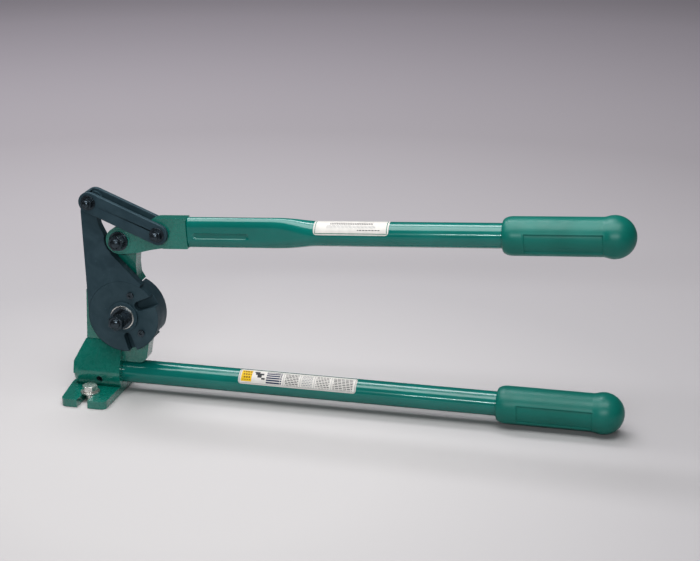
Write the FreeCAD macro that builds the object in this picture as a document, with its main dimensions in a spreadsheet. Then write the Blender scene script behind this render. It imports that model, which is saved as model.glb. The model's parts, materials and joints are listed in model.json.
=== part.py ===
import FreeCAD, Part
import math
import os
import re
import Sketcher
from FreeCAD import Placement, Rotation, Vector

# Bench rod cutter: a lever-operated rotary shear for steel rod.
# X runs along the handles, -Y is the working side, +Z is up.
# The origin is on the bench at the middle of the foot, midway between its two slots.

doc = FreeCAD.newDocument("BenchRodCutter")
dims = doc.addObject("Spreadsheet::Sheet", "dims")

# Driving dimensions in millimetres, angles in degrees.
sizes = [
    # handles, 1 in. nominal pipe
    ("tube_radius", 16.7, "outer radius of both handle tubes"),
    ("tube_wall", 3.4, "wall of both handle tubes"),
    ("tube_axis_height", 29, "lower handle axis above the bench"),
    ("handle_tilt", 3.3, "rise of the closed upper handle"),
    ("handle_axis_rise", 11.1, "upper handle axis above its pivot, square to the handle"),
    ("flat_thickness", 18.4, "upper tube where it is pressed flat"),
    ("flat_height", 42, "upper tube where it is pressed flat"),
    ("flat_end", 228, "pivot to the end of the flat length"),
    ("round_start", 275, "pivot to where the tube is round again"),
    ("flat_start", 99, "pivot to the tube's end on the yoke"),
    ("press_groove_length", 76, "groove pressed into the front of the flat"),
    ("press_groove_width", 7, "same groove"),
    ("press_groove_depth", 1.4, "same groove"),
    ("press_groove_start", 104, "pivot to the near end of the groove"),
    ("press_groove_drop", 6, "groove below the tube's axis"),
    ("tang_length", 42, "yoke's tang inside the tube"),
    ("upper_grip_start", 528, "pivot to the open end of the upper grip"),
    ("lower_grip_start", 521.2, "shear axis to the open end of the lower grip"),
    ("lower_tube_start", -76, "inner end of the lower tube in its socket"),
    ("grip_length", 170.3, "length of each grip"),
    ("grip_radius", 25.6, "outer radius of each grip"),
    ("grip_ball_radius", 28.1, "ball at the end of each grip"),
    ("grip_neck_radius", 23.8, "groove between grip and ball"),
    ("grip_mouth_radius", 20.5, "outer radius at the open end"),
    ("grip_shoulder", 7, "length of the rounded shoulder"),
    ("grip_bore_depth", 138, "how far the tube runs into the grip"),
    # linkage points
    ("shear_x", 46.5, "shear axis from the middle of the foot"),
    ("shear_height", 120, "shear axis above the bench"),
    ("pivot_rise", 110.5, "handle pivot above the shear axis"),
    ("arm_pin_back", 39, "arm pin behind the handle pivot"),
    ("arm_pin_rise", 53.5, "arm pin above the handle pivot"),
    ("handle_pin_reach", 58.7, "link pin from the handle pivot, along the handle"),
    ("link_length", 104.55, "between the two link pins"),
    ("closing_turn", 44.3, "turn of the arm from notches in line to closed"),
    # plates, stacked along Y with the front negative
    ("arm_back", -14, "rear face of the arm"),
    ("arm_thickness", 12.7, "arm plate"),
    ("yoke_back", -11.25, "rear face of the handle yoke"),
    ("yoke_thickness", 18.2, "handle yoke"),
    ("shoulder_height", 1.3, "raised shoulder of the yoke beyond the front link"),
    ("link_thickness", 6.35, "each link"),
    ("rear_link_back", -4.6, "rear face of the rear link"),
    ("front_link_back", -29.75, "rear face of the front link"),
    ("link_width", 28.5, "links are bars with round ends"),
    ("arm_pin_slot", 14, "width of the open slot at the arm's end"),
    ("arm_pin_slot_angle", 62, "direction of that slot when closed"),
    # dies
    ("die_radius", 50.8, "both die discs"),
    ("die_clearance", 0.3, "around the dies"),
    ("fixed_die_front", -13.7, "front face of the fixed die"),
    ("fixed_die_back", 10, "rear face of the fixed die"),
    ("moving_die_thickness", 8, "moving die, let into the arm"),
    ("large_notch_reach", 28.9, "shear axis to the seat of the large notch"),
    ("large_notch_radius", 6.7, "large notch, for 1/2 in. rod"),
    ("large_notch_angle", 35.6, "direction of that seat when closed"),
    ("small_notch_reach", 29.2, "shear axis to the seat of the small notch"),
    ("small_notch_radius", 5.1, "small notch, for 3/8 in. rod"),
    ("small_notch_angle", -80, "direction of that seat when closed"),
    ("die_screw_radius", 3.97, "5/16 in. cap screws that hold the moving die"),
    ("die_screw_head", 4.8, "radius of their heads"),
    ("die_screw_reach", 34, "shear axis to those screws"),
    ("die_screw_angle", 69, "upper screw"),
    ("die_screw_span", 110, "angle between the screws"),
    # fasteners
    ("stud_radius", 6.35, "1/2 in. stud on the shear axis"),
    ("stud_front", -61, "front end of the stud"),
    ("half_nut_flats", 19.05, "1/2 in. nuts and bolt heads, across flats"),
    ("half_nut_height", 11, "1/2 in. nuts"),
    ("half_head_height", 8.4, "1/2 in. bolt heads"),
    ("bush_radius", 9.5, "outer radius of both bearing bushes"),
    ("thrust_ring_radius", 21.5, "ring against the moving die"),
    ("thrust_ring_height", 3.5, "same ring"),
    ("washer_radius", 16.8, "bright washer on the shear axis"),
    ("bright_washer_height", 1.6, "same washer"),
    ("collar_radius", 15.4, "dark collar between that washer and the nuts"),
    ("collar_height", 3.8, "same collar"),
    ("washer_thickness", 2.5, "1/2 in. washers"),
    ("pivot_bolt_front", -46, "front end of the handle pivot bolt"),
    ("small_bolt_radius", 4.76, "3/8 in. link bolts and set screw"),
    ("small_nut_flats", 14.3, "3/8 in. nuts and heads, across flats"),
    ("small_nut_height", 7, "3/8 in. nuts"),
    ("small_head_height", 6, "3/8 in. bolt heads"),
    ("small_bolt_front", -47.7, "front end of the link bolts"),
    ("small_washer_radius", 10.4, "3/8 in. washers"),
    ("small_washer_thickness", 1.6, "3/8 in. washers"),
    ("foot_washer_radius", 13.5, "washers under the foot bolts"),
    ("lock_screw_radius", 3.97, "5/16 in. screw that locks the fixed die"),
    ("fit", 0.05, "radial clearance of close fits"),
    # base casting
    ("foot_thickness", 11, "toes of the foot"),
    ("foot_reach", 79, "foot, from the handle axis to each toe's edge"),
    ("foot_right", -12.5, "right side of the foot"),
    ("foot_left", -86, "left side of the foot at the socket"),
    ("toe_left", -77.5, "left side of the foot at the toe's edge"),
    ("slot_x", -46.5, "middle of the foot slots from the shear axis"),
    ("slot_width", 15.9, "foot slots, 5/8 in."),
    ("slot_end", 48, "slot end's centre, from the handle axis"),
    ("socket_left", -82.5, "closed end of the tube socket"),
    ("socket_right", -10.5, "open end of the tube socket"),
    ("socket_radius", 27, "tube socket, outer radius"),
    ("socket_round", 11, "rounding of the closed end"),
    ("set_screw_x", -41, "handle set screw along the socket"),
    ("set_screw_dip", 14, "handle set screw below level"),
    ("web_half", 10, "half the thickness of the upright web"),
    ("post_left", -63.5, "left side of the web where it leaves the pedestal"),
    ("pedestal_half", 12.5, "half the thickness of the pedestal's top"),
    ("pedestal_top", 76.5, "height of the pedestal's top"),
    ("pedestal_low_half", 25.6, "where the pedestal's flank meets the socket"),
    ("pedestal_low", 37.5, "height of that line"),
    ("lug_radius", 17.5, "round lug at the handle pivot"),
]
for row, (alias, value, note) in enumerate(sizes, start=1):
    dims.set("A%d" % row, note)
    dims.set("B%d" % row, str(value))
    dims.setAlias("B%d" % row, alias)
doc.recompute()

aliases = re.compile(r"\b(" + "|".join(entry[0] for entry in sizes) + r")\b")


def bound(expression):
    """An expression with every alias pointing at the sheet."""
    return aliases.sub(r"dims.\1", str(expression))


def value(expression):
    """Present value of such an expression."""
    result = dims.evalExpression(bound(expression))
    return float(getattr(result, "Value", result))


def drive(obj, prop, expression):
    """Bind one property to the sheet."""
    obj.setExpression(prop, bound(expression))


def driveLocal(obj, x, y, z):
    """Bind a feature's position inside its body."""
    drive(obj, ".Placement.Base.x", x)
    drive(obj, ".Placement.Base.y", y)
    drive(obj, ".Placement.Base.z", z)


def drivePlace(obj, x, y, z):
    """Bind a piece's position, with x counted from the shear axis."""
    drive(obj, ".Placement.Base.x", "shear_x + (%s)" % x)
    drive(obj, ".Placement.Base.y", y)
    drive(obj, ".Placement.Base.z", z)


# Points of the linkage as expressions
pivotZ = "shear_height + pivot_rise"
armPinX = "-arm_pin_back"
armPinZ = "shear_height + pivot_rise + arm_pin_rise"
handlePinX = "handle_pin_reach * cos(handle_tilt) - handle_axis_rise * sin(handle_tilt)"
handlePinZ = (
    "shear_height + pivot_rise"
    " + handle_pin_reach * sin(handle_tilt) + handle_axis_rise * cos(handle_tilt)"
)

# ------------------------------------------------------------ PartDesign helpers


def newBody(name, x="0", y="0", z="0"):
    body = doc.addObject("PartDesign::Body", name)
    body.Label = name
    drivePlace(body, x, y, z)
    return body


def newSketch(body, name, role="XZ_Plane", offset=None):
    sketch = body.newObject("Sketcher::SketchObject", name)
    plane = [f for f in body.Origin.OriginFeatures if f.Role == role][0]
    sketch.AttachmentSupport = [(plane, "")]
    sketch.MapMode = "FlatFace"
    if offset is not None:
        drive(sketch, ".AttachmentOffset.Base.z", offset)
    return sketch


def pin(sketch, geometry, point, x, y):
    """Hold one sketch point at driven coordinates; either may be left free."""
    for kind, expression in (("DistanceX", x), ("DistanceY", y)):
        if expression is None:
            continue
        amount = value(expression)
        index = sketch.addConstraint(
            Sketcher.Constraint(kind, -1, 1, geometry, point, amount)
        )
        drive(sketch, "Constraints[%d]" % index, expression)


def addOutline(sketch, corners):
    """Closed straight-sided outline through driven corners."""
    spots = [Vector(value(x), value(y), 0) for x, y in corners]
    count = len(spots)
    lines = []
    for i in range(count):
        segment = Part.LineSegment(spots[i], spots[(i + 1) % count])
        lines.append(sketch.addGeometry(segment, False))
    for i in range(count):
        nextLine = lines[(i + 1) % count]
        sketch.addConstraint(Sketcher.Constraint("Coincident", lines[i], 2, nextLine, 1))
    for line, (x, y) in zip(lines, corners):
        pin(sketch, line, 1, x, y)


def addCircle(sketch, x, y, radius):
    circle = Part.Circle(Vector(value(x), value(y), 0), Vector(0, 0, 1), value(radius))
    index = sketch.addGeometry(circle, False)
    pin(sketch, index, 3, x, y)
    size = sketch.addConstraint(Sketcher.Constraint("Radius", index, value(radius)))
    drive(sketch, "Constraints[%d]" % size, radius)


def addCapsule(sketch, half, radius):
    """Upright outline with two straight sides and round ends, about the centre."""
    h = value(half)
    r = value(radius)
    up = Vector(0, 0, 1)
    top = sketch.addGeometry(Part.ArcOfCircle(Part.Circle(Vector(0, h, 0), up, r), 0, math.pi), False)
    left = sketch.addGeometry(Part.LineSegment(Vector(-r, h, 0), Vector(-r, -h, 0)), False)
    low = sketch.addGeometry(
        Part.ArcOfCircle(Part.Circle(Vector(0, -h, 0), up, r), math.pi, 2 * math.pi), False
    )
    right = sketch.addGeometry(Part.LineSegment(Vector(r, -h, 0), Vector(r, h, 0)), False)
    joins = [(top, 2, left, 1), (left, 2, low, 1), (low, 2, right, 1), (right, 2, top, 1)]
    for a, pa, b, pb in joins:
        sketch.addConstraint(Sketcher.Constraint("Coincident", a, pa, b, pb))
    pin(sketch, top, 3, "0", half)
    pin(sketch, low, 3, "0", "-(%s)" % half)
    pin(sketch, left, 1, None, half)
    pin(sketch, right, 2, None, half)
    pin(sketch, left, 2, None, "-(%s)" % half)
    pin(sketch, right, 1, None, "-(%s)" % half)
    for arc in (top, low):
        index = sketch.addConstraint(Sketcher.Constraint("Radius", arc, r))
        drive(sketch, "Constraints[%d]" % index, radius)


def extrude(body, kind, sketch, name, length, midplane=False, reverse=False):
    feature = body.newObject("PartDesign::" + kind, name)
    feature.Profile = sketch
    if kind == "Pocket" and length is None:
        feature.Type = 1
    else:
        feature.Length = value(length)
        drive(feature, "Length", length)
    feature.Midplane = midplane
    feature.Reversed = reverse
    doc.recompute()
    return feature


def cut(body, sketch, name, length, midplane=False, reverse=False):
    """Pocket that must take material away."""
    before = body.Shape.Volume
    feature = extrude(body, "Pocket", sketch, name, length, midplane, reverse)
    if body.Shape.Volume > before - 0.5:
        raise ValueError("%s removes nothing" % name)
    return feature


def roundEdges(body, name, radius, wanted):
    """Fillet the edges of the body's present tip that a test picks."""
    tip = body.Tip
    picks = []
    for number, edge in enumerate(tip.Shape.Edges, start=1):
        if wanted(edge):
            picks.append("Edge%d" % number)
    if not picks:
        raise ValueError("%s finds no edge" % name)
    fillet = body.newObject("PartDesign::Fillet", name)
    fillet.Base = (tip, picks)
    fillet.Radius = value(radius)
    drive(fillet, "Radius", radius)
    doc.recompute()
    if not fillet.isValid() or fillet.Shape.isNull():
        raise ValueError("%s fails on %s" % (name, picks))
    return fillet


def crossEdgesAt(spots, span=0.2):
    """Test for straight edges along Y that pass through given (x, z) points."""
    def wanted(edge):
        if not isinstance(edge.Curve, Part.Line):
            return False
        a = edge.Vertexes[0].Point
        b = edge.Vertexes[-1].Point
        if abs(a.x - b.x) > 0.01 or abs(a.z - b.z) > 0.01:
            return False
        return any(abs(a.x - x) < span and abs(a.z - z) < span for x, z in spots)
    return wanted


def uprightEdgesAt(spots, span=0.2):
    """Test for straight edges along Z that pass through given (x, y) points."""
    def wanted(edge):
        if not isinstance(edge.Curve, Part.Line):
            return False
        a = edge.Vertexes[0].Point
        b = edge.Vertexes[-1].Point
        if abs(a.x - b.x) > 0.01 or abs(a.y - b.y) > 0.01:
            return False
        return any(abs(a.x - x) < span and abs(a.y - y) < span for x, y in spots)
    return wanted


def circleAt(x):
    """Test for circles about the X direction at one station."""
    def wanted(edge):
        if not isinstance(edge.Curve, Part.Circle):
            return False
        return abs(edge.Curve.Center.x - value(x)) < 0.1 and abs(edge.Curve.Axis.x) > 0.99
    return wanted


def values(corners):
    return [(value(x), value(y)) for x, y in corners]


# ------------------------------------------------------------ hardware helpers

towardFront = Rotation(Vector(1, 0, 0), 90)


def primitive(kind, name, turn, x, y, z, **driven):
    """Part primitive turned and placed, with driven sizes."""
    obj = doc.addObject("Part::" + kind, name)
    obj.Placement = Placement(Vector(0, 0, 0), turn)
    for prop, expression in driven.items():
        setattr(obj, prop, value(expression))
        drive(obj, prop, expression)
    drivePlace(obj, x, y, z)
    return obj


def cylinder(name, x, y, z, radius, height, turn=towardFront):
    return primitive("Cylinder", name, turn, x, y, z, Radius=radius, Height=height)


def boolean(kind, name, *members):
    obj = doc.addObject("Part::" + kind, name)
    if kind == "Cut":
        obj.Base = members[0]
        obj.Tool = members[1]
    elif kind == "Compound":
        obj.Links = list(members)
    else:
        obj.Shapes = list(members)
    return obj


def washer(name, x, y, z, radius, bore, height, turn=towardFront):
    disc = cylinder(name + "_disc", x, y, z, radius, height, turn)
    hole = cylinder(name + "_hole", x, y, z, bore, height, turn)
    return boolean("Cut", name, disc, hole)


def hexBlock(name, x, y, z, flats, height, turn=towardFront, spin=0):
    """Hexagon with both faces chamfered at the corners."""
    whole = turn.multiply(Rotation(Vector(0, 0, 1), spin))
    block = doc.addObject("Part::Prism", name + "_prism")
    block.Polygon = 6
    block.Placement = Placement(Vector(0, 0, 0), whole)
    drive(block, "Circumradius", "(%s) / sqrt(3)" % flats)
    drive(block, "Height", height)
    drivePlace(block, x, y, z)
    wide = "(%s) * 0.49 + (%s) * 1.732" % (flats, height)
    near = "(%s) * 0.49" % flats
    low = primitive("Cone", name + "_low", turn, x, y, z, Radius1=near, Radius2=wide, Height=height)
    top = primitive("Cone", name + "_top", turn, x, y, z, Radius1=wide, Radius2=near, Height=height)
    return boolean("MultiCommon", name, block, low, top)


def nut(name, x, y, z, flats, bore, height, turn=towardFront, spin=0):
    block = hexBlock(name + "_block", x, y, z, flats, height, turn, spin)
    hole = cylinder(name + "_bore", x, y, z, bore, height, turn)
    return boolean("Cut", name, block, hole)


def bolt(name, x, headY, z, flats, headHeight, radius, front, spin=0):
    """Hexagon bolt from the rear; its head lies behind headY and its end at front."""
    head = hexBlock(name + "_head", x, "%s + %s" % (headY, headHeight), z, flats, headHeight, spin=spin)
    shank = cylinder(name + "_shank", x, "%s + 1" % headY, z, radius, "%s + 1 - (%s)" % (headY, front))
    return boolean("MultiFuse", name, head, shank)


nodes = []


def node(obj, name):
    obj.Label = name
    nodes.append((name, obj))
    return obj


# ------------------------------------------------------------ base casting

casting = newBody("base_casting_body")

# socket for the lower handle
sketch = newSketch(casting, "socket_outline", "YZ_Plane", "socket_left")
addCircle(sketch, "0", "tube_axis_height", "socket_radius")
extrude(casting, "Pad", sketch, "socket", "socket_right - socket_left")


roundEdges(casting, "socket_end_rounding", "socket_round", circleAt("socket_left"))

# foot with two toes, each with an open bolt slot
footCorners = [
    ("toe_left", "-foot_reach"), ("foot_right", "-foot_reach"),
    ("foot_right", "foot_reach"), ("toe_left", "foot_reach"),
    ("foot_left", "15"), ("foot_left", "-15"),
]
sketch = newSketch(casting, "foot_outline", "XY_Plane")
addOutline(sketch, footCorners)
extrude(casting, "Pad", sketch, "foot", "foot_thickness")

# pedestal: flanks rise from the socket's sides to the foot of the web
flankCorners = [
    ("-socket_radius", "tube_axis_height"), ("-pedestal_low_half", "pedestal_low"),
    ("-pedestal_half", "pedestal_top"), ("pedestal_half", "pedestal_top"),
    ("pedestal_low_half", "pedestal_low"), ("socket_radius", "tube_axis_height"),
]
sketch = newSketch(casting, "pedestal_outline", "YZ_Plane", "socket_left + 3")
addOutline(sketch, flankCorners)
extrude(casting, "Pad", sketch, "pedestal", "socket_right - socket_left - 3")

# its left end slopes down to the socket's closed end
slopeCorners = [
    ("post_left", "pedestal_top + 1"), ("post_left - 5.5", "67"), ("post_left - 10.5", "57"),
    ("post_left - 15.5", "47"), ("socket_left - 0.5", "37"), ("socket_left - 8", "37"),
    ("socket_left - 8", "pedestal_top + 1"),
]
sketch = newSketch(casting, "slope_outline")
addOutline(sketch, slopeCorners)
cut(casting, sketch, "slope", "80", midplane=True)

# upright web, open to the right around the dies
webCorners = [
    ("post_left", "60"), ("-50", "47"), ("13", "46.5"), ("26.5", "60"), ("30", "80"), ("22", "100"),
    ("22", "168"), ("16.5", "177"), ("15.5", "192"), ("lug_radius", "209"), ("lug_radius", pivotZ),
    ("-lug_radius * 0.898", pivotZ + " + lug_radius * 0.44"), ("-60", "149"),
]
sketch = newSketch(casting, "web_outline")
addOutline(sketch, webCorners)
extrude(casting, "Pad", sketch, "web", "2 * web_half", midplane=True)
sketch = newSketch(casting, "lobe_outline")
addCircle(sketch, "13", "60", "13.5")
extrude(casting, "Pad", sketch, "lobe", "2 * web_half", midplane=True)

# round lug at the handle pivot
sketch = newSketch(casting, "lug_outline")
addCircle(sketch, "0", pivotZ, "lug_radius")
extrude(casting, "Pad", sketch, "lug", "2 * web_half", midplane=True)

# bore for the fixed die
sketch = newSketch(casting, "die_bore_outline")
addCircle(sketch, "0", "shear_height", "die_radius + 2 * die_clearance")
cut(casting, sketch, "die_bore", "60", midplane=True)

# window on the right where the rod passes
windowCorners = [
    ("5", "shear_height - 10"), ("70", "shear_height - 50"),
    ("70", "168"), ("22", "168"), ("5", "shear_height + 30"),
]
sketch = newSketch(casting, "window_outline")
addOutline(sketch, windowCorners)
cut(casting, sketch, "window", "60", midplane=True)

sketch = newSketch(casting, "pivot_bore_outline")
addCircle(sketch, "0", pivotZ, "stud_radius + fit")
cut(casting, sketch, "pivot_bore", "60", midplane=True)

sketch = newSketch(casting, "socket_bore_outline", "YZ_Plane", "socket_right")
addCircle(sketch, "0", "tube_axis_height", "tube_radius + fit")
cut(casting, sketch, "socket_bore", "socket_right - lower_tube_start")

for side, sign in (("front", "-1"), ("rear", "1")):
    sketch = newSketch(casting, side + "_slot_outline", "XY_Plane")
    far = "%s * (foot_reach + 5)" % sign
    near = "%s * slot_end" % sign
    addOutline(sketch, [
        ("slot_x - slot_width / 2", near), ("slot_x - slot_width / 2", far),
        ("slot_x + slot_width / 2", far), ("slot_x + slot_width / 2", near),
    ])
    cut(casting, sketch, side + "_slot", "foot_thickness + 1", reverse=True)
    sketch = newSketch(casting, side + "_slot_end_outline", "XY_Plane")
    addCircle(sketch, "slot_x", near, "slot_width / 2")
    cut(casting, sketch, side + "_slot_end", "foot_thickness + 1", reverse=True)

# screw holes: one into the socket, one into the die bore
hole = casting.newObject("PartDesign::SubtractiveCylinder", "set_screw_hole")
hole.Placement = Placement(Vector(0, 0, 0), Rotation(Vector(1, 0, 0), 90 + value("set_screw_dip")))
drive(hole, "Radius", "small_bolt_radius + fit")
drive(hole, "Height", "socket_radius + 8")
driveLocal(hole, "set_screw_x", "0", "tube_axis_height")
doc.recompute()
hole = casting.newObject("PartDesign::SubtractiveCylinder", "lock_screw_hole")
hole.Placement = Placement(Vector(0, 0, 0), Rotation(Vector(0, 1, 0), -90))
drive(hole, "Radius", "lock_screw_radius + fit")
drive(hole, "Height", "30")
driveLocal(hole, "-45", "0", "shear_height")
doc.recompute()

# cast roundings
roundEdges(casting, "toe_rounding", "8", uprightEdgesAt(values(footCorners[:4])))
softCorners = [("-60", "149")]
roundEdges(casting, "cast_rounding", "6", crossEdgesAt(values(softCorners)))


node(casting, "base_casting")

# ------------------------------------------------------------ dies and arm


def polar(reach, angle, side="0"):
    """Expressions for a point at a reach and angle, shifted sideways."""
    x = "(%s) * cos(%s) - (%s) * sin(%s)" % (reach, angle, side, angle)
    z = "(%s) * sin(%s) + (%s) * cos(%s)" % (reach, angle, side, angle)
    return x, z


def cutNotch(body, name, reach, radius, angle, opening, depth):
    """Round seat for the rod with an opening that widens to the rim."""
    sketch = newSketch(body, name + "_seat_outline")
    x, z = polar(reach, angle)
    addCircle(sketch, x, z, radius)
    cut(body, sketch, name + "_seat", depth, midplane=True)
    sketch = newSketch(body, name + "_mouth_outline")
    low = polar(reach, angle, "-(%s)" % radius)
    high = polar(reach, angle, radius)
    farLow = polar("die_radius + 6", opening, "-(%s) * 1.25" % radius)
    farHigh = polar("die_radius + 6", opening, "(%s) * 1.25" % radius)
    addOutline(sketch, [low, farLow, farHigh, high])
    cut(body, sketch, name + "_mouth", depth, midplane=True)


def cutNotches(body, name, turn, depth):
    """Both rod notches, turned about the shear axis."""
    cutNotch(body, name + "_large", "large_notch_reach", "large_notch_radius",
             "large_notch_angle + " + turn, "large_notch_angle - 7 + " + turn, depth)
    cutNotch(body, name + "_small", "small_notch_reach", "small_notch_radius",
             "small_notch_angle + " + turn, "small_notch_angle + 4 + " + turn, depth)


screwAngles = ("die_screw_angle", "die_screw_angle - die_screw_span")

fixedDie = newBody("fixed_die_body", "0", "fixed_die_back", "shear_height")
sketch = newSketch(fixedDie, "fixed_die_outline")
addCircle(sketch, "0", "0", "die_radius")
extrude(fixedDie, "Pad", sketch, "fixed_die_disc", "fixed_die_back - fixed_die_front")
sketch = newSketch(fixedDie, "fixed_die_bore_outline")
addCircle(sketch, "0", "0", "stud_radius + fit")
cut(fixedDie, sketch, "fixed_die_bore", "60", midplane=True)
cutNotches(fixedDie, "fixed", "closing_turn", "60")
node(fixedDie, "fixed_die")

movingDie = newBody("moving_die_body", "0", "arm_back - arm_thickness + moving_die_thickness", "shear_height")
sketch = newSketch(movingDie, "moving_die_outline")
addCircle(sketch, "0", "0", "die_radius")
extrude(movingDie, "Pad", sketch, "moving_die_disc", "moving_die_thickness")
sketch = newSketch(movingDie, "moving_die_bore_outline")
addCircle(sketch, "0", "0", "bush_radius + fit")
cut(movingDie, sketch, "moving_die_bore", "60", midplane=True)
cutNotches(movingDie, "moving", "0", "60")
for number, angle in enumerate(screwAngles, start=1):
    sketch = newSketch(movingDie, "die_screw_hole_%d" % number)
    x, z = polar("die_screw_reach", angle)
    addCircle(sketch, x, z, "die_screw_radius + fit")
    cut(movingDie, sketch, "die_screw_bore_%d" % number, "60", midplane=True)
node(movingDie, "moving_die")

# arm: a plate from the moving die up to the link pin
arm = newBody("shear_arm_body", "0", "arm_back", "shear_height")
armCorners = [
    ("-50.6", "-1"), ("-54.5", "pivot_rise + arm_pin_rise - 16"),
    ("-53", "pivot_rise + arm_pin_rise + 1"), ("-46", "pivot_rise + arm_pin_rise + 12.5"),
    ("-39", "pivot_rise + arm_pin_rise + 14"), ("-32", "pivot_rise + arm_pin_rise + 12"),
    ("-26.5", "pivot_rise + arm_pin_rise + 4"), ("-28", "pivot_rise + arm_pin_rise - 8"),
    ("-32.7", "145"), ("-29.3", "130"), ("-20.5", "112"), ("-14", "90"), ("-3.2", "79"),
    ("28", "48"), ("0", "0"),
]
sketch = newSketch(arm, "arm_outline")
addOutline(sketch, armCorners)
extrude(arm, "Pad", sketch, "arm_plate", "arm_thickness")
sketch = newSketch(arm, "arm_disc_outline")
addCircle(sketch, "0", "0", "die_radius + die_clearance")
extrude(arm, "Pad", sketch, "arm_disc", "arm_thickness")
sketch = newSketch(arm, "boss_relief_outline")
addCircle(sketch, "0", "pivot_rise", "lug_radius + 5.5")
cut(arm, sketch, "boss_relief", "60", midplane=True)
sketch = newSketch(arm, "die_pocket_outline")
addCircle(sketch, "0", "0", "die_radius + 0.3 * die_clearance")
sketch.AttachmentOffset = Placement(Vector(0, 0, value("arm_thickness")), Rotation())
drive(sketch, ".AttachmentOffset.Base.z", "arm_thickness")
cut(arm, sketch, "die_pocket", "moving_die_thickness")
sketch = newSketch(arm, "arm_bore_outline")
addCircle(sketch, "0", "0", "bush_radius + fit")
cut(arm, sketch, "arm_bore", "60", midplane=True)
cutNotches(arm, "arm", "0", "60")
for number, angle in enumerate(screwAngles, start=1):
    sketch = newSketch(arm, "arm_screw_hole_%d" % number)
    x, z = polar("die_screw_reach", angle)
    addCircle(sketch, x, z, "die_screw_radius + fit")
    cut(arm, sketch, "arm_screw_bore_%d" % number, "60", midplane=True)
pinRise = "pivot_rise + arm_pin_rise"
sketch = newSketch(arm, "pin_seat_outline")
addCircle(sketch, armPinX, pinRise, "arm_pin_slot / 2")
cut(arm, sketch, "pin_seat", "60", midplane=True)
sketch = newSketch(arm, "pin_slot_outline")
slotCorners = []
for reach, side in (("0", "-1"), ("40", "-1"), ("40", "1"), ("0", "1")):
    x, z = polar(reach, "arm_pin_slot_angle", side + " * arm_pin_slot / 2")
    slotCorners.append((armPinX + " + " + x, pinRise + " + " + z))
addOutline(sketch, slotCorners)
cut(arm, sketch, "pin_slot", "60", midplane=True)
node(arm, "shear_arm")

# ------------------------------------------------------------ links

for name, back in (("front_link", "front_link_back"), ("rear_link", "rear_link_back")):
    link = newBody(name + "_body", armPinX, back, armPinZ)
    slope = "atan2(%s - (%s); %s + arm_pin_back)" % (handlePinZ, armPinZ, handlePinX)
    link.Placement = Placement(link.Placement.Base, Rotation(Vector(0, -1, 0), -21.9))
    drive(link, ".Placement.Rotation.Angle", slope)
    drivePlace(link, armPinX, back, armPinZ)
    sketch = newSketch(link, name + "_outline")
    addOutline(sketch, [
        ("0", "-link_width / 2"), ("link_length", "-link_width / 2"),
        ("link_length", "link_width / 2"), ("0", "link_width / 2"),
    ])
    extrude(link, "Pad", sketch, name + "_bar", "link_thickness")
    for end, x in (("lower", "0"), ("upper", "link_length")):
        sketch = newSketch(link, "%s_%s_end_outline" % (name, end))
        addCircle(sketch, x, "0", "link_width / 2")
        extrude(link, "Pad", sketch, "%s_%s_end" % (name, end), "link_thickness")
    for end, x in (("lower", "0"), ("upper", "link_length")):
        sketch = newSketch(link, "%s_%s_hole_outline" % (name, end))
        addCircle(sketch, x, "0", "small_bolt_radius + fit")
        cut(link, sketch, "%s_%s_hole" % (name, end), "60", midplane=True)
    node(link, name)


# ------------------------------------------------------------ upper handle, built level

yoke = newBody("handle_yoke_body", "0", "yoke_back", pivotZ)
yoke.Placement = Placement(yoke.Placement.Base, Rotation(Vector(0, -1, 0), value("handle_tilt")))
drivePlace(yoke, "0", "yoke_back", pivotZ)
drive(yoke, ".Placement.Rotation.Angle", "handle_tilt")
sketch = newSketch(yoke, "yoke_boss_outline")
addCircle(sketch, "0", "0", "lug_radius + 1.2")
extrude(yoke, "Pad", sketch, "yoke_boss", "yoke_thickness")
yokeCorners = [
    ("-6", "-17.7"), ("10", "-18.4"), ("26", "-16.5"), ("45", "-12.3"),
    ("60", "handle_axis_rise - flat_height / 2"), ("flat_start - 0.1", "handle_axis_rise - flat_height / 2"),
    ("flat_start - 0.1", "handle_axis_rise + flat_height / 2"), ("58", "handle_axis_rise + flat_height / 2"),
    ("51", "30.5"), ("45", "27.5"), ("36", "21"), ("24", "17.5"), ("8", "17"), ("0", "10"),
]
sketch = newSketch(yoke, "yoke_arm_outline")
addOutline(sketch, yokeCorners)
extrude(yoke, "Pad", sketch, "yoke_arm", "yoke_thickness")

# raised shoulder beyond the link's end, open above for the link's swing
shoulderCorners = [
    ("60", "-6"), ("64", "handle_axis_rise - flat_height / 2"),
    ("flat_start - 0.1", "handle_axis_rise - flat_height / 2"),
    ("flat_start - 0.1", "handle_axis_rise + flat_height / 2"),
    ("84", "handle_axis_rise + flat_height / 2"), ("77", "14"), ("66", "0"),
]
sketch = newSketch(yoke, "yoke_shoulder_outline", "XZ_Plane", "yoke_thickness")
addOutline(sketch, shoulderCorners)
extrude(yoke, "Pad", sketch, "yoke_shoulder", "shoulder_height")
sketch = newSketch(yoke, "shoulder_round_outline", "XZ_Plane", "yoke_thickness + 5")
addCircle(sketch, "handle_pin_reach", "handle_axis_rise", "link_width / 2 + 1.8")
cut(yoke, sketch, "shoulder_round", "5")
tangCorners = [
    ("flat_start - 5", "handle_axis_rise - 11.7"), ("flat_start + tang_length", "handle_axis_rise - 11.7"),
    ("flat_start + tang_length", "handle_axis_rise + 11.7"), ("flat_start - 5", "handle_axis_rise + 11.7"),
]
tangFront = "(yoke_thickness - flat_thickness) / 2 + tube_wall + 0.1"
sketch = newSketch(yoke, "yoke_tang_outline", "XZ_Plane", tangFront)
addOutline(sketch, tangCorners)
extrude(yoke, "Pad", sketch, "yoke_tang", "flat_thickness - 2 * tube_wall - 0.2")
sketch = newSketch(yoke, "boss_groove_outline", "XZ_Plane", "yoke_thickness")
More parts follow.
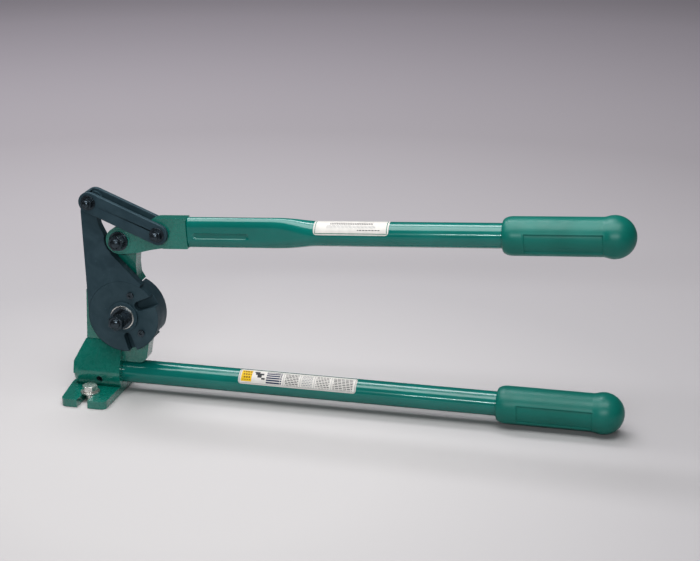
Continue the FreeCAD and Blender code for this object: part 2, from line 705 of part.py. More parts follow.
addCircle(sketch, "0", "0", "lug_radius - 0.2")
addCircle(sketch, "0", "0", "lug_radius - 1.4")
cut(yoke, sketch, "boss_groove", "0.7")
sketch = newSketch(yoke, "yoke_bore_outline")
addCircle(sketch, "0", "0", "bush_radius + fit")
cut(yoke, sketch, "yoke_bore", "60", midplane=True)
sketch = newSketch(yoke, "yoke_pin_outline")
addCircle(sketch, "handle_pin_reach", "handle_axis_rise", "small_bolt_radius + fit")
cut(yoke, sketch, "yoke_pin_hole", "60", midplane=True)
node(yoke, "handle_yoke")

# upper tube: pressed flat over the yoke's tang, round towards the grip
upperTube = newBody("upper_handle_tube_body")
upperTube.Placement = Placement(Vector(0, 0, 0), Rotation(Vector(0, -1, 0), value("handle_tilt")))
drive(upperTube, ".Placement.Rotation.Angle", "handle_tilt")
drivePlace(
    upperTube,
    "-handle_axis_rise * sin(handle_tilt)",
    "yoke_back - yoke_thickness / 2",
    pivotZ + " + handle_axis_rise * cos(handle_tilt)",
)
tubeEnd = "upper_grip_start + grip_bore_depth - 1"


def addSection(body, name, offset, half, radius):
    sketch = newSketch(body, name, "YZ_Plane", offset)
    addCapsule(sketch, half, radius)
    return sketch


def loft(body, kind, name, first, last):
    feature = body.newObject("PartDesign::" + kind, name)
    feature.Profile = first
    feature.Sections = [last]
    feature.Ruled = True
    doc.recompute()
    return feature


flatHalf = "(flat_height - flat_thickness) / 2"
for layer, kind, shrink in (("outer", "Pad", "0"), ("inner", "Pocket", "tube_wall")):
    flatRadius = "flat_thickness / 2 - " + shrink
    roundRadius = "tube_radius - " + shrink
    flat = addSection(upperTube, layer + "_flat", "flat_start", flatHalf, flatRadius)
    first = addSection(upperTube, layer + "_flat_end", "flat_end", flatHalf, flatRadius)
    last = addSection(upperTube, layer + "_round", "round_start", "0.05", roundRadius)
    straight = newSketch(upperTube, layer + "_straight", "YZ_Plane", "round_start")
    addCircle(straight, "0", "0", roundRadius)
    inward = kind == "Pocket"
    extrude(upperTube, kind, flat, layer + "_flat_length", "flat_end - flat_start", reverse=inward)
    if inward:
        loft(upperTube, "SubtractiveLoft", layer + "_change", first, last)
    else:
        loft(upperTube, "AdditiveLoft", layer + "_change", first, last)
    extrude(upperTube, kind, straight, layer + "_round_length", tubeEnd + " - round_start", reverse=inward)

# groove pressed into the front of the flat length
grooveY = "flat_thickness / 2 - press_groove_depth"
grooveRadius = "press_groove_width / 2"
sketch = newSketch(upperTube, "press_groove_outline", "XZ_Plane", grooveY)
grooveEnd = "press_groove_start + press_groove_length"
grooveLow = "-press_groove_drop - " + grooveRadius
grooveHigh = "-press_groove_drop + " + grooveRadius
addOutline(sketch, [
    ("press_groove_start", grooveLow), (grooveEnd, grooveLow),
    (grooveEnd, grooveHigh), ("press_groove_start", grooveHigh),
])
cut(upperTube, sketch, "press_groove", "10", reverse=True)
node(upperTube, "upper_handle_tube")

# ------------------------------------------------------------ lower tube and grips

along = Rotation(Vector(0, 1, 0), 90)
lowerEnd = "lower_grip_start + grip_bore_depth - 1"
tubeLength = lowerEnd + " - lower_tube_start"
solid = cylinder("lower_tube_solid", "lower_tube_start", "0", "tube_axis_height", "tube_radius", tubeLength, along)
hollow = cylinder(
    "lower_tube_hollow", "lower_tube_start", "0", "tube_axis_height", "tube_radius - tube_wall", tubeLength, along
)
lowerTube = boolean("Cut", "lower_tube", solid, hollow)
node(lowerTube, "lower_handle_tube")


def newGrip(name):
    """Sleeve with a rounded mouth, a neck groove and a ball end, along +X."""
    body = doc.addObject("PartDesign::Body", name + "_body")
    ballX = "grip_length - grip_ball_radius"
    sketch = newSketch(body, name + "_sleeve_outline", "YZ_Plane")
    addCircle(sketch, "0", "0", "grip_radius")
    extrude(body, "Pad", sketch, name + "_sleeve", ballX + " - 14")
    roundEdges(body, name + "_mouth", "grip_radius - grip_mouth_radius", circleAt("0"))
    sketch = newSketch(body, name + "_neck_outline", "YZ_Plane", ballX + " - 20")
    addCircle(sketch, "0", "0", "grip_neck_radius")
    extrude(body, "Pad", sketch, name + "_neck", "20")
    ball = body.newObject("PartDesign::AdditiveSphere", name + "_ball")
    drive(ball, "Radius", "grip_ball_radius")
    driveLocal(ball, ballX, "0", "0")
    doc.recompute()
    sketch = newSketch(body, name + "_bore_outline", "YZ_Plane")
    addCircle(sketch, "0", "0", "tube_radius + fit")
    cut(body, sketch, name + "_bore", "grip_bore_depth", reverse=True)
    return body


lowerGrip = newGrip("lower_grip")
drivePlace(lowerGrip, "lower_grip_start", "0", "tube_axis_height")
node(lowerGrip, "lower_grip")

upperGrip = newGrip("upper_grip")
upperGrip.Placement = Placement(Vector(0, 0, 0), Rotation(Vector(0, -1, 0), value("handle_tilt")))
drive(upperGrip, ".Placement.Rotation.Angle", "handle_tilt")
drivePlace(
    upperGrip,
    "upper_grip_start * cos(handle_tilt) - handle_axis_rise * sin(handle_tilt)",
    "yoke_back - yoke_thickness / 2",
    pivotZ + " + upper_grip_start * sin(handle_tilt) + handle_axis_rise * cos(handle_tilt)",
)
node(upperGrip, "upper_grip")

# ------------------------------------------------------------ hardware on the shear axis

armFront = "arm_back - arm_thickness"
ringFront = armFront + " - thrust_ring_height"
collarStart = ringFront + " - bright_washer_height"
nutStart = collarStart + " - collar_height"
axisZ = "shear_height"
studBore = "stud_radius + fit"

bush = washer("arm_bush_solid", "0", "arm_back", axisZ, "bush_radius", studBore, "arm_thickness")
node(bush, "arm_bush")
ring = washer("thrust_ring", "0", armFront, axisZ, "thrust_ring_radius", studBore, "thrust_ring_height")
node(ring, "arm_thrust_ring")

frontWasher = washer("front_stud_washer", "0", ringFront, axisZ, "washer_radius", studBore, "bright_washer_height")
collar = washer("collar_disc", "0", collarStart, axisZ, "collar_radius", studBore, "collar_height")
node(collar, "stud_collar")
rearStart = "fixed_die_back + washer_thickness"
rearWasher = washer("rear_stud_washer", "0", rearStart, axisZ, "washer_radius", studBore, "washer_thickness")
node(boolean("Compound", "stud_washers_group", frontWasher, rearWasher), "stud_washers")

studNuts = []
nutStarts = (nutStart, nutStart + " - half_nut_height", rearStart + " + half_nut_height")
for number, start in enumerate(nutStarts, start=1):
    studNuts.append(
        nut("stud_nut_%d" % number, "0", start, axisZ, "half_nut_flats", studBore, "half_nut_height", spin=12 * number)
    )
node(boolean("Compound", "stud_nuts_group", *studNuts), "stud_nuts")
studRear = rearStart + " + half_nut_height + 3"
stud = cylinder("stud_rod", "0", studRear, axisZ, "stud_radius", studRear + " - stud_front")
node(stud, "main_stud")

# two cap screws hold the moving die in the arm
capScrews = []
for number, angle in enumerate(screwAngles, start=1):
    x, z = polar("die_screw_reach", angle)
    z = z + " + shear_height"
    label = "die_screw_%d" % number
    head = cylinder(label + "_head", x, armFront, z, "die_screw_head", "3")
    shank = cylinder(label + "_shank", x, "arm_back - 0.5", z, "die_screw_radius", "arm_thickness")
    whole = boolean("MultiFuse", label + "_whole", head, shank)
    socket = doc.addObject("Part::Prism", label + "_socket")
    socket.Polygon = 6
    socket.Placement = Placement(Vector(0, 0, 0), towardFront)
    drive(socket, "Circumradius", "2.3")
    drive(socket, "Height", "3")
    drivePlace(socket, x, armFront + " - 1", z)
    capScrews.append(boolean("Cut", label, whole, socket))
node(boolean("Compound", "die_screw_group", *capScrews), "die_cap_screws")

# screw from the post's edge that locks the fixed die
towardLeft = Rotation(Vector(0, 1, 0), -90)
lockBody = cylinder(
    "lock_screw_rod", "-(die_radius + 0.2)", "0", "shear_height", "lock_screw_radius", "9", towardLeft
)
lockSocket = doc.addObject("Part::Prism", "lock_screw_socket")
lockSocket.Polygon = 6
lockSocket.Placement = Placement(Vector(0, 0, 0), towardLeft)
drive(lockSocket, "Circumradius", "2.3")
drive(lockSocket, "Height", "5")
drivePlace(lockSocket, "-(die_radius + 5.2)", "0", "shear_height")
node(boolean("Cut", "lock_screw", lockBody, lockSocket), "die_lock_screw")

# ------------------------------------------------------------ hardware at the handle pivot

yokeFront = "yoke_back - yoke_thickness"
pivotBolt = bolt(
    "pivot_bolt", "0", "web_half", pivotZ, "half_nut_flats", "half_head_height", "stud_radius", "pivot_bolt_front"
)
node(pivotBolt, "handle_pivot_bolt")
node(washer("yoke_bush_solid", "0", "yoke_back", pivotZ, "bush_radius", studBore, "yoke_thickness"), "yoke_bush")
shim = washer("yoke_shim", "0", "yoke_back + 1.2", pivotZ, "lug_radius - 1", studBore, "1.15")
node(shim, "yoke_shim_washer")
pivotWasher = washer("pivot_washer", "0", yokeFront, pivotZ, "foot_washer_radius", studBore, "washer_thickness")
node(pivotWasher, "handle_pivot_washer")
pivotNut = nut(
    "pivot_nut", "0", yokeFront + " - washer_thickness", pivotZ, "half_nut_flats", studBore, "half_nut_height", spin=10
)
node(pivotNut, "handle_pivot_nut")

# ------------------------------------------------------------ hardware on the links

linkFront = "front_link_back - link_thickness"
smallBore = "small_bolt_radius + fit"
pins = (("lower", armPinX, armPinZ, 8), ("upper", handlePinX, handlePinZ, 21))
linkBolts = []
linkNuts = []
linkWashers = []
for label, x, z, spin in pins:
    linkBolts.append(
        bolt(label + "_link_bolt", x, "rear_link_back", z, "small_nut_flats", "small_head_height",
             "small_bolt_radius", "small_bolt_front", spin)
    )
    linkWashers.append(
        washer(label + "_link_washer", x, linkFront, z, "small_washer_radius", smallBore, "small_washer_thickness")
    )
    linkNuts.append(
        nut(label + "_link_nut", x, linkFront + " - small_washer_thickness", z, "small_nut_flats", smallBore,
            "small_nut_height", spin=spin + 15)
    )
node(boolean("Compound", "link_bolt_group", *linkBolts), "link_bolts")
node(boolean("Compound", "link_washer_group", *linkWashers), "link_washers")
node(boolean("Compound", "link_nut_group", *linkNuts), "link_nuts")

# spacers fill the room between each link and the thinner arm
frontGap = "%s - front_link_back - fit" % armFront
rearGap = "rear_link_back - link_thickness - arm_back - fit"
frontSpacer = washer("front_spacer", armPinX, "%s - fit" % armFront, armPinZ, "small_washer_radius", smallBore, frontGap)
rearSpacer = washer(
    "rear_spacer", armPinX, "rear_link_back - link_thickness", armPinZ, "small_washer_radius", smallBore, rearGap
)
node(boolean("Compound", "link_spacer_group", frontSpacer, rearSpacer), "link_spacers")

# ------------------------------------------------------------ hardware on the base

dipped = Rotation(Vector(1, 0, 0), 90 + value("set_screw_dip"))
startY = "-(tube_radius + 0.1) * cos(set_screw_dip)"
startZ = "tube_axis_height - (tube_radius + 0.1) * sin(set_screw_dip)"
setRod = cylinder("set_screw_rod", "set_screw_x", startY, startZ, "small_bolt_radius", "8.5", dipped)
setSocket = doc.addObject("Part::Prism", "set_screw_socket")
setSocket.Polygon = 6
setSocket.Placement = Placement(Vector(0, 0, 0), dipped)
drive(setSocket, "Circumradius", "2.75")
drive(setSocket, "Height", "5")
drivePlace(
    setSocket, "set_screw_x", "-(tube_radius + 5) * cos(set_screw_dip)",
    "tube_axis_height - (tube_radius + 5) * sin(set_screw_dip)",
)
node(boolean("Cut", "set_screw", setRod, setSocket), "handle_set_screw")

upward = Rotation()
footBolts = []
footWashers = []
for label, sign, spin in (("front", "-1", 7), ("rear", "1", 19)):
    y = sign + " * slot_end"
    washerTop = "foot_thickness + washer_thickness"
    footWashers.append(
        washer(label + "_foot_washer", "slot_x", y, "foot_thickness", "foot_washer_radius", studBore,
               "washer_thickness", upward)
    )
    head = hexBlock(label + "_foot_head", "slot_x", y, washerTop, "half_nut_flats", "half_head_height", upward, spin)
    shank = cylinder(label + "_foot_shank", "slot_x", y, "0.6", "stud_radius", washerTop, upward)
    footBolts.append(boolean("MultiFuse", label + "_foot_bolt", head, shank))
node(boolean("Compound", "foot_bolt_group", *footBolts), "foot_bolts")
node(boolean("Compound", "foot_washer_group", *footWashers), "foot_washers")

# ------------------------------------------------------------ checks and export

doc.recompute()
for obj in doc.Objects:
    if "Invalid" in obj.State or "Error" in obj.State:
        raise ValueError("%s is not valid: %s" % (obj.Name, obj.State))
os.makedirs("parts", exist_ok=True)
for name, obj in nodes:
    shape = obj.Shape
    if shape.isNull() or not shape.isValid():
        raise ValueError("%s has no valid shape" % name)
    shape.exportStep("parts/%s.step" % name)
print("%d nodes written" % len(nodes))
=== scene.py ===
import json
import math
import bmesh
import bpy
import numpy as np
from mathutils import Matrix, Vector


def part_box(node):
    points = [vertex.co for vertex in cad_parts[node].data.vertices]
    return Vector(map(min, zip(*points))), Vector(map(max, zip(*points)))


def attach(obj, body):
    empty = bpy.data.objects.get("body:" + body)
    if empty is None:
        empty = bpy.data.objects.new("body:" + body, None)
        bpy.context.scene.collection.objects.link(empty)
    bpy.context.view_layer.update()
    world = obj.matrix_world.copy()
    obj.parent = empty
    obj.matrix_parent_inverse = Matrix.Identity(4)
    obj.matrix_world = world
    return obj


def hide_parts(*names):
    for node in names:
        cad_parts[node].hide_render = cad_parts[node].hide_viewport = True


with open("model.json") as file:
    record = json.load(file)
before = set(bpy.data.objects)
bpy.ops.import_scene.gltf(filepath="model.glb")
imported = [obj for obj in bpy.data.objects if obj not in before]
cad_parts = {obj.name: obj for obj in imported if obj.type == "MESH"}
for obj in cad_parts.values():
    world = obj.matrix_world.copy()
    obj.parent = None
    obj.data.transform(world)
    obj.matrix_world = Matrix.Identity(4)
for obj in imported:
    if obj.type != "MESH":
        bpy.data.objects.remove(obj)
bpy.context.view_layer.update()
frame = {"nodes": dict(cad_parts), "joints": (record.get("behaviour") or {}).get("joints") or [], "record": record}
cadNodes = frame["nodes"]
mm = 0.001
pivots = {joint["name"]: Vector(joint["pos_m"]) for joint in frame["joints"]}
print("frame loaded with", len(cadNodes), "parts")

cameraSet = {
    "place": (0.8699, -2.0422, 0.9013),
    "yaw": 13.915,
    "down": 18.718,
    "roll": -0.245,
    "lens": 84.99,
}
cameraData = bpy.data.cameras.new("camera")
cameraData.lens = cameraSet["lens"]
cameraData.sensor_width = 36
cameraData.clip_end = 50
camera = bpy.data.objects.new("camera", cameraData)
camera.matrix_world = (
    Matrix.Translation(cameraSet["place"])
    @ Matrix.Rotation(math.radians(cameraSet["yaw"]), 4, "Z")
    @ Matrix.Rotation(math.radians(90 - cameraSet["down"]), 4, "X")
    @ Matrix.Rotation(math.radians(cameraSet["roll"]), 4, "Z")
)
bpy.context.scene.collection.objects.link(camera)
bpy.context.scene.camera = camera

lightSet = [
    # name, place, point it faces, width, height, watts, colour
    ("overheadSoftbox", (0.3, -0.45, 1.95), (0.3, 0.0, 0.0), 2.4, 1.3, 38, (1.0, 0.985, 0.985)),
    ("frontStrip", (0.85, -2.45, 1.22), (0.3, 0.0, 0.15), 2.0, 0.11, 26, (0.98, 0.99, 1.0)),
    ("backdropWash", (-0.5, 0.9, 2.3), (-0.4, 2.2, 0.0), 2.0, 1.0, 42, (1.0, 0.97, 1.0)),
]
for name, place, target, width, height, watts, tint in lightSet:
    data = bpy.data.lights.new(name, "AREA")
    data.shape = "RECTANGLE"
    data.size = width
    data.size_y = height
    data.energy = watts
    data.color = tint
    lamp = bpy.data.objects.new(name, data)
    lamp.location = place
    lamp.visible_camera = False
    lamp.rotation_euler = (Vector(target) - Vector(place)).to_track_quat("-Z", "Y").to_euler()
    bpy.context.scene.collection.objects.link(lamp)

world = bpy.data.worlds.new("studio")
world.use_nodes = True
world.node_tree.nodes["Background"].inputs["Color"].default_value = (0.72, 0.70, 0.73, 1)
world.node_tree.nodes["Background"].inputs["Strength"].default_value = 0.08
bpy.context.scene.world = world
bpy.context.scene.view_settings.view_transform = "Standard"
bpy.context.scene.view_settings.look = "Medium High Contrast"


def newMaterial(name, color, roughness, metallic=0.0, coat=0.0, coatRoughness=0.1, specular=0.4):
    made = bpy.data.materials.new(name)
    made.use_nodes = True
    made.diffuse_color = (*color, 1)
    shader = made.node_tree.nodes["Principled BSDF"]
    shader.inputs["Base Color"].default_value = (*color, 1)
    shader.inputs["Roughness"].default_value = roughness
    shader.inputs["Metallic"].default_value = metallic
    shader.inputs["Coat Weight"].default_value = coat
    shader.inputs["Coat Roughness"].default_value = coatRoughness
    shader.inputs["Specular IOR Level"].default_value = specular
    return made


def addNode(made, kind, settings=None, **inputs):
    node = made.node_tree.nodes.new("ShaderNode" + kind)
    for key, amount in (settings or {}).items():
        setattr(node, key, amount)
    for key, amount in inputs.items():
        socket = node.inputs[key.replace("_", " ")]
        if isinstance(amount, bpy.types.NodeSocket):
            made.node_tree.links.new(amount, socket)
        else:
            socket.default_value = amount
    return node


def objectNoise(made, scale, detail=3.0, stretch=(1, 1, 1), distortion=0.0):
    place = addNode(made, "TexCoord").outputs["Object"]
    mapped = addNode(made, "Mapping", Vector=place, Scale=stretch).outputs["Vector"]
    noise = addNode(made, "TexNoise", Vector=mapped, Scale=scale, Detail=detail, Distortion=distortion)
    return noise.outputs["Fac"]


def ramp(made, factor, stops):
    node = addNode(made, "ValToRGB", Fac=factor)
    band = node.color_ramp
    while len(band.elements) < len(stops):
        band.elements.new(0.5)
    for element, (spot, color) in zip(band.elements, stops):
        element.position = spot
        element.color = (*color, 1)
    return node.outputs["Color"]


def grey(amount):
    return (amount, amount, amount)


def plug(made, output, socketName):
    shader = made.node_tree.nodes["Principled BSDF"]
    made.node_tree.links.new(output, shader.inputs[socketName])


def bumpFrom(made, layers):
    # layers of (height output, strength, distance in metres), each laid on the one before
    normal = None
    for height, strength, distance in layers:
        bump = addNode(made, "Bump", Strength=strength, Distance=distance, Height=height)
        if normal is not None:
            made.node_tree.links.new(normal, bump.inputs["Normal"])
        normal = bump.outputs["Normal"]
    plug(made, normal, "Normal")


def blendColors(made, factor, first, second):
    mix = addNode(made, "Mix", {"data_type": "RGBA"})
    for number, amount in ((0, factor), (6, first), (7, second)):
        if isinstance(amount, bpy.types.NodeSocket):
            made.node_tree.links.new(amount, mix.inputs[number])
        else:
            mix.inputs[number].default_value = amount
    return mix.outputs[2]


# gloss enamel over a sand casting: orange peel, shallow cast dimples, slow colour drift;
# green of the castings and, a little bluer, of the pipes
paintColor = {"deep": (0.001, 0.135, 0.104), "light": (0.002, 0.165, 0.128)}
tubeColor = {"deep": (0.001, 0.142, 0.120), "light": (0.002, 0.168, 0.142)}
castPaint = newMaterial("castEnamel", paintColor["deep"], 0.24, coat=1.0, coatRoughness=0.12, specular=0.6)
plug(castPaint, ramp(castPaint, objectNoise(castPaint, 28, 4), [
    (0.3, paintColor["deep"]), (0.7, paintColor["light"])]), "Base Color")
plug(castPaint, ramp(castPaint, objectNoise(castPaint, 160, 3), [
    (0.35, grey(0.22)), (0.7, grey(0.36))]), "Roughness")
bumpFrom(castPaint, [
    (objectNoise(castPaint, 110, 3), 0.45, 0.0008),
    (objectNoise(castPaint, 430, 2), 0.50, 0.0004),
])

# the same enamel on smooth pipe: finer peel, faint drawing lines along the tube
tubePaint = newMaterial("tubeEnamel", tubeColor["deep"], 0.2, coat=0.6, coatRoughness=0.05)
plug(tubePaint, ramp(tubePaint, objectNoise(tubePaint, 18, 3), [
    (0.3, tubeColor["deep"]), (0.7, tubeColor["light"])]), "Base Color")
plug(tubePaint, ramp(tubePaint, objectNoise(tubePaint, 90, 3, (0.25, 1, 1)), [
    (0.35, grey(0.17)), (0.7, grey(0.27))]), "Roughness")
bumpFrom(tubePaint, [
    (objectNoise(tubePaint, 60, 2, (0.15, 1, 1)), 0.12, 0.0003),
    (objectNoise(tubePaint, 500, 2), 0.10, 0.0001),
])

# moulded vinyl of the grips: satin with a fine grain and a few scuffs
gripVinyl = newMaterial("gripVinyl", (0.002, 0.135, 0.108), 0.4, coat=0.1, coatRoughness=0.3)
plug(gripVinyl, ramp(gripVinyl, objectNoise(gripVinyl, 22, 4), [
    (0.3, (0.001, 0.130, 0.104)), (0.7, (0.003, 0.160, 0.130))]), "Base Color")
plug(gripVinyl, ramp(gripVinyl, objectNoise(gripVinyl, 70, 5), [
    (0.3, grey(0.33)), (0.75, grey(0.5))]), "Roughness")
bumpFrom(gripVinyl, [
    (objectNoise(gripVinyl, 900, 2), 0.18, 0.0002),
    (objectNoise(gripVinyl, 45, 3), 0.10, 0.0005),
])


def oxideMaterial(name, dark, light, roughLow, roughHigh, grind, metal=0.3):
    # black oxide on steel: blotchy film, grinding lines, brighter metal where it is rubbed
    made = newMaterial(name, dark, roughLow, metallic=metal)
    blotch = objectNoise(made, 55, 5, distortion=0.6)
    body = ramp(made, blotch, [(0.32, dark), (0.68, light)])
    rub = ramp(made, objectNoise(made, 260, 6), [(0.66, grey(0.0)), (0.78, grey(0.5))])
    worn = blendColors(made, rub, body, (*[min(c * 2.2, 0.5) for c in light], 1))
    plug(made, worn, "Base Color")
    plug(made, ramp(made, objectNoise(made, 140, 4), [
        (0.3, grey(roughLow)), (0.75, grey(roughHigh))]), "Roughness")
    bumpFrom(made, [
        (objectNoise(made, 900, 3, grind), 0.22, 0.0001),
        (objectNoise(made, 70, 3), 0.10, 0.0004),
    ])
    return made


# dark and light tint, smoothest and roughest, stretch of the grinding lines
plateOxide = oxideMaterial(
    "plateOxide", (0.026, 0.056, 0.072), (0.040, 0.076, 0.094), 0.46, 0.6, (1, 1, 0.12))
dieOxide = oxideMaterial(
    "dieOxide", (0.026, 0.056, 0.071), (0.042, 0.077, 0.094), 0.42, 0.56, (0.3, 1, 1))
boltOxide = oxideMaterial(
    "boltOxide", (0.035, 0.048, 0.058), (0.075, 0.095, 0.110), 0.2, 0.34, (1, 0.2, 1), 0.85)


def platedMaterial(name, color, shade):
    # bright plating with cloudy streaks and tiny handling scratches
    made = newMaterial(name, color, 0.25, metallic=0.9)
    plug(made, ramp(made, objectNoise(made, 120, 4), [(0.3, shade), (0.7, color)]), "Base Color")
    plug(made, ramp(made, objectNoise(made, 300, 4), [(0.3, grey(0.2)), (0.75, grey(0.38))]), "Roughness")
    bumpFrom(made, [(objectNoise(made, 1200, 3, (1, 1, 0.2)), 0.15, 0.00008)])
    return made


zincPlate = platedMaterial("zincPlate", (0.80, 0.79, 0.75), (0.62, 0.62, 0.60))
sinteredBronze = platedMaterial("sinteredBronze", (0.55, 0.36, 0.17), (0.36, 0.22, 0.10))
print("materials made")

slotMaterials = {
    "green_cast": castPaint, "green_tube": tubePaint, "grip_vinyl": gripVinyl,
    "black_oxide": plateOxide, "tool_steel": dieOxide, "dark_fastener": boltOxide,
    "zinc": zincPlate, "bronze": sinteredBronze,
}
nodeSlots = {part["node"]: part["material_slot"] for part in frame["record"]["subparts"]}
for name, part in cadNodes.items():
    for place in part.material_slots:
        place.material = slotMaterials[nodeSlots[name]]


def linkPiece(name, mesh, body, finish):
    piece = bpy.data.objects.new(name, mesh)
    bpy.context.scene.collection.objects.link(piece)
    mesh.materials.clear()
    mesh.materials.append(slotMaterials[finish] if isinstance(finish, str) else finish)
    mesh.polygons.foreach_set("use_smooth", np.full(len(mesh.polygons), True))
    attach(piece, body)
    return piece


def softened(name, node, body, width, segments, joint=None):
    # the part's own shape with every sharp edge rolled over by a small radius; joint is the
    # level where two stacked solids meet, so that each is merged by itself
    mesh = cadNodes[node].data.copy()
    mesh.name = name
    work = bmesh.new()
    work.from_mesh(mesh)
    work.normal_update()
    halves = ([], [])
    for face in work.faces:
        inside = face.calc_center_median().y - face.normal.y * 0.0001
        halves[joint is not None and inside < joint].extend(face.verts)
    for corners in halves:
        bmesh.ops.remove_doubles(work, verts=list(set(corners)), dist=2e-6)
    bmesh.ops.dissolve_limit(work, angle_limit=math.radians(0.6), verts=work.verts, edges=work.edges)
    bmesh.ops.connect_verts_concave(work, faces=work.faces)
    bmesh.ops.recalc_face_normals(work, faces=work.faces)
    work.to_mesh(mesh)
    work.free()
    piece = linkPiece(name, mesh, body, nodeSlots[node])
    bevel = piece.modifiers.new("edges", "BEVEL")
    bevel.width = width * mm
    bevel.segments = segments
    bevel.limit_method = "ANGLE"
    bevel.angle_limit = math.radians(32)
    bevel.use_clamp_overlap = True
    flats = piece.modifiers.new("flats", "WEIGHTED_NORMAL")  # large faces keep their own normal
    flats.weight = 90
    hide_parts(node)


def gridMesh(name, points):
    # rows run along the piece and columns round it; the last column meets the first, and a
    # fan of triangles closes each end
    rows, columns = points.shape[:2]
    index = np.arange(rows * columns).reshape(rows, columns)
    nextColumn = np.roll(index, -1, axis=1)
    quads = np.stack([index[:-1], index[1:], nextColumn[1:], nextColumn[:-1]], axis=-1).reshape(-1, 4)
    vertices = points.reshape(-1, 3)
    faces = quads.tolist()
    for row, first, second in ((0, index[0], nextColumn[0]), (-1, nextColumn[-1], index[-1])):
        faces += np.stack([first, second, np.full(columns, len(vertices))], -1).tolist()
        vertices = np.vstack([vertices, points[row].mean(axis=0)])
    mesh = bpy.data.meshes.new(name)
    mesh.from_pydata(vertices.tolist(), [], faces)
    work = bmesh.new()
    work.from_mesh(mesh)
    bmesh.ops.remove_doubles(work, verts=work.verts, dist=1e-7)
    bmesh.ops.recalc_face_normals(work, faces=work.faces)
    work.to_mesh(mesh)
    work.free()
    return mesh


def smoothStep(amount):
    # three times the square less twice the cube, held between 0 and 1
    clipped = np.clip(amount, 0, 1)
    return clipped * clipped * (3 - 2 * clipped)


def placed(points, turn, place):
    # every point turned by a matrix, then moved
    matrix = np.array(turn.to_3x3())
    return points @ matrix.T + np.array(place)


softEdges = [
    # name, node it replaces, body, width of the rolled edge in millimetres, segments
    ("castingBody", "base_casting", "base", 1.6, 4),
    ("yokeBody", "handle_yoke", "upper_handle", 1.0, 3),
    ("armPlate", "shear_arm", "arm", 0.8, 3),
    ("movingDieDisc", "moving_die", "arm", 0.5, 2),
    ("fixedDieDisc", "fixed_die", "base", 0.8, 2),
    ("frontLinkBar", "front_link", "links", 0.8, 3),
    ("rearLinkBar", "rear_link", "links", 0.8, 3),
]
for name, node, body, width, segments in softEdges:
    softened(name, node, body, width, segments)
print("castings and plates softened")

tilt = math.radians(3.3)
handleTurn = Matrix.Rotation(tilt, 4, (0, -1, 0))
handlePivot = pivots["handle_hinge"]
handleRise = 11.1 * mm
upperAxis = Vector((-handleRise * math.sin(tilt), 0, handleRise * math.cos(tilt))) + handlePivot
lowerAxis = Vector((0, 0, 29 * mm))

tubeSet = {
    "radius": 16.7, "flatStart": 99.0, "flatEnd": 218.0, "roundStart": 282.0, "end": 640.0,
    "flatThickness": 18.4, "flatHeight": 42.0, "endStretch": 1.4,
    "grooveStart": 108.0, "grooveEnd": 185.0, "grooveDrop": 3.2, "grooveHalf": 3.6,
    "grooveDepth": 1.9, "grooveEdge": 1.6, "columns": 160,
}


def upperTubePoints(spec):
    # a flat section with half-ellipse ends turns into a circle: the straight flank shrinks and
    # the ends grow by a smooth step along the tube; a long groove is pressed into the front
    columns = spec["columns"]
    stations = np.concatenate([
        np.arange(spec["flatStart"], spec["roundStart"] + 14, 1.6),
        np.linspace(spec["roundStart"] + 16, spec["end"], 24),
    ])
    around = np.linspace(0, 2 * np.pi, columns, endpoint=False)
    change = smoothStep((stations - spec["flatEnd"]) / (spec["roundStart"] - spec["flatEnd"]))
    change = change[:, None]
    endRadius = spec["flatThickness"] / 2 * (1 - change) + spec["radius"] * change
    stretch = 1 + (spec["endStretch"] - 1) * (1 - change)
    flank = (spec["flatHeight"] / 2 - spec["flatThickness"] / 2 * spec["endStretch"]) * (1 - change)
    # the same share of the outline's length for every column, counted from the top
    arc = np.pi * endRadius
    whole = 2 * arc + 4 * flank
    along = (around / (2 * np.pi))[None, :] * whole
    y = np.zeros_like(along)
    z = np.zeros_like(along)
    pieces = [
        (arc / 2, "arc", 0, 1), (2 * flank, "side", 1, 0), (arc, "arc", 1, -1),
        (2 * flank, "side", -1, 0), (arc / 2, "arc", 3, 1),
    ]
    start = np.zeros_like(whole)
    for length, kind, code, sign in pieces:
        local = along - start
        inside = (local >= -1e-9) & (local <= length + 1e-9)
        if kind == "arc":
            turn = code * np.pi / 2 + local / endRadius
            yy = endRadius * np.sin(turn)
            zz = endRadius * stretch * np.cos(turn) + sign * flank
        else:
            yy = code * endRadius + 0 * local
            zz = code * (flank - local)
        y = np.where(inside, yy, y)
        z = np.where(inside, zz, z)
        start = start + length
    x = np.repeat(stations[:, None], columns, axis=1)
    front = y < -spec["flatThickness"] * 0.3
    middle = (spec["grooveStart"] + spec["grooveEnd"]) / 2
    half = (spec["grooveEnd"] - spec["grooveStart"]) / 2 - spec["grooveHalf"]
    reach = np.hypot(np.maximum(np.abs(x - middle) - half, 0), z + spec["grooveDrop"])
    dent = smoothStep((spec["grooveHalf"] - reach) / spec["grooveEdge"] + 0.5) * spec["grooveDepth"]
    y = np.where(front, y + dent, y)
    return np.stack([x, y, z], axis=-1) * mm


upperTubeMesh = gridMesh("upperTubeSkin", placed(upperTubePoints(tubeSet), handleTurn, upperAxis))
upperTubeSkin = linkPiece("upperTubeSkin", upperTubeMesh, "upper_handle", "green_tube")
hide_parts("upper_handle_tube")

gripSet = {
    "length": 170.3, "radius": 25.6, "ball": 28.1, "mouth": 19.4, "bore": 16.9, "shoulder": 13.5,
    "blend": 1.4, "ballStart": 118, "columns": 220,
    "panelStart": 29.0, "panelEnd": 129.0, "panelMiddle": -11.0, "panelHalf": 13.6,
    "panelDepth": 1.7, "panelEdge": 0.9, "panelRim": 0.25, "seamHeight": 0.16,
}


